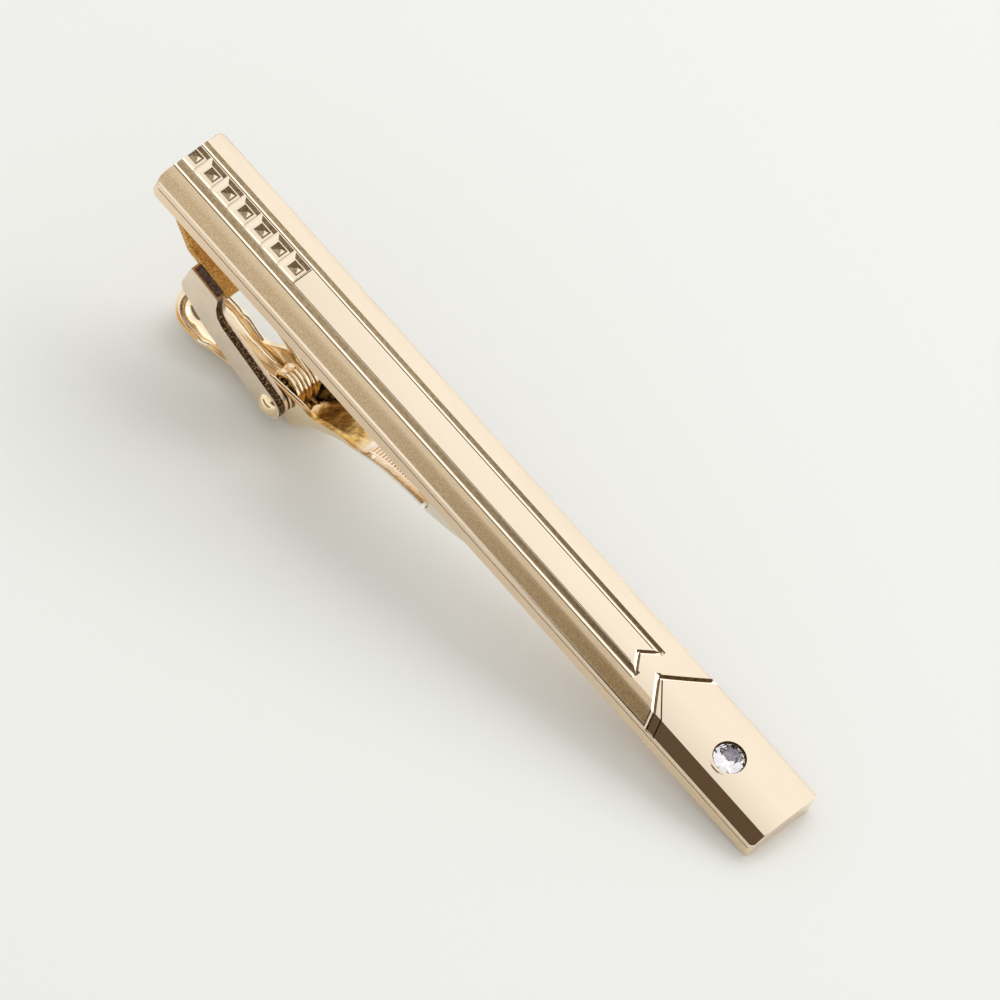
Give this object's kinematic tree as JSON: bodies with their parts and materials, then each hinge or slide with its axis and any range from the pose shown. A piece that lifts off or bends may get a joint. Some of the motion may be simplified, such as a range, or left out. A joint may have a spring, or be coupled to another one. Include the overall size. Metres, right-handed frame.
{
  "type": "tie clip",
  "caption": "Gilt tie clip: an engraved bar with a row of sunk squares, a chevron and a small stone, and a sprung alligator lever with a toothed jaw on a yoke behind it",
  "frame": {"origin": "on the flat back of the bar, at its middle line, over the edge of the jaw's tip where the teeth close", "axes": "X along the bar from the plain end towards the end with the stone, Y across the bar, Z out of the engraved face"},
  "size_m": [0.06, 0.0062, 0.0146],
  "materials": {
    "polished_gilt": "polished pale gold plate, with a matt blasted panel along one side of the bar",
    "satin_gilt": "satin pale gold plate",
    "raw_gilt": "rough orange gold, granular, left unpolished",
    "dark_braze": "dark granular brazing metal",
    "spring_wire": "bright drawn spring wire, gold plated",
    "clear_stone": "faceted clear stone with a faint lilac tint",
    "stone_cement": "dull dark cement"
  },
  "bodies": {
    "clip_frame": {"bar": "polished_gilt", "crystal": "clear_stone", "crystal_cement": "stone_cement", "mounting_leg": "raw_gilt", "foot_solder": "raw_gilt", "yoke": "satin_gilt", "yoke_braze": "dark_braze", "pivot_rivet": "satin_gilt", "torsion_spring": "spring_wire"},
    "lever_body": {"lever": "polished_gilt"}
  },
  "joints": [
    {"name": "lever_pivot", "type": "hinge", "parent": "clip_frame", "child": "lever_body", "pos_m": [-0.0175, 0, -0.00859], "axis": [0, 1, 0], "range_deg": [0, 24], "stiffness_Nm_per_rad": 0.03, "springref_deg": -68.75, "deforming": ["torsion_spring"]}
  ]
}
